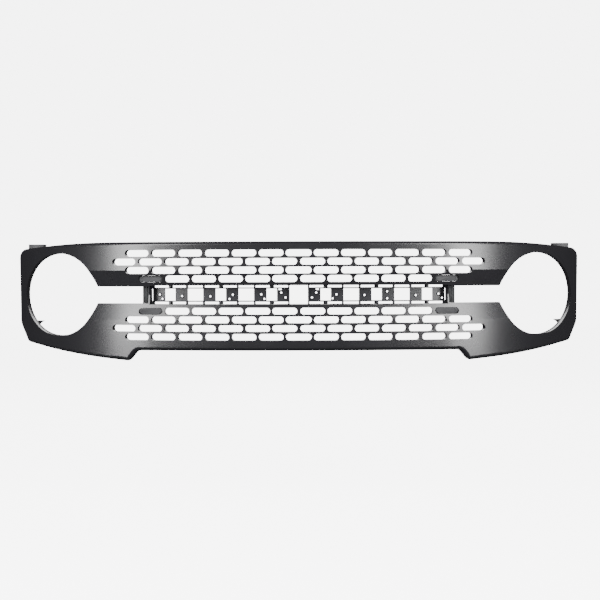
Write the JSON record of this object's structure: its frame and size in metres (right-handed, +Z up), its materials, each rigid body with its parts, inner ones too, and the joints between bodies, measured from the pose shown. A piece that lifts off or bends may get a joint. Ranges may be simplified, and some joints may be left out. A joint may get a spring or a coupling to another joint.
{
  "type": "vehicle front grille",
  "caption": "Full-width vehicle front grille: slotted plastic shell with round lamp openings, letter carriers, snap-in blanks, buffers, corner brackets and clips.",
  "frame": {"origin": "midway between the two inner bolt holes, on the top face of the top flange", "axes": "+X to the right seen from the front, +Y rearwards into the car, +Z up"},
  "size_m": [1.5948, 0.2456, 0.3158],
  "materials": {
    "shell_plastic": "satin charcoal, fine moulded grain",
    "carrier_plastic": "satin charcoal, smooth mould finish",
    "blank_plastic": "dark grey, fine grain",
    "locator_plastic": "black, slightly waxy",
    "buffer_rubber": "dull dark grey rubber",
    "coated_steel": "dark grey dip coating",
    "black_zinc_steel": "black zinc",
    "plated_steel": "bright zinc",
    "spring_steel": "grey zinc flake"
  },
  "bodies": {
    "root": {"grille_shell": "shell_plastic", "letter_carrier_right": "carrier_plastic", "letter_carrier_left": "carrier_plastic", "carrier_screws_right": "black_zinc_steel", "carrier_screws_left": "black_zinc_steel", "lamp_bar_buffer_right": "buffer_rubber", "lamp_bar_buffer_left": "buffer_rubber", "slot_blank_upper_right": "blank_plastic", "slot_blank_upper_left": "blank_plastic", "slot_blank_lower_right": "blank_plastic", "slot_blank_lower_left": "blank_plastic", "lamp_locator_right": "locator_plastic", "lamp_locator_left": "locator_plastic", "corner_bracket_right": "coated_steel", "corner_bracket_left": "coated_steel", "bracket_screws_right": "black_zinc_steel", "bracket_screws_left": "black_zinc_steel", "locator_screws": "black_zinc_steel", "bracket_nuts": "plated_steel", "top_bolt_bushes": "plated_steel", "lower_spring_clips": "spring_steel"}
  },
  "joints": []
}
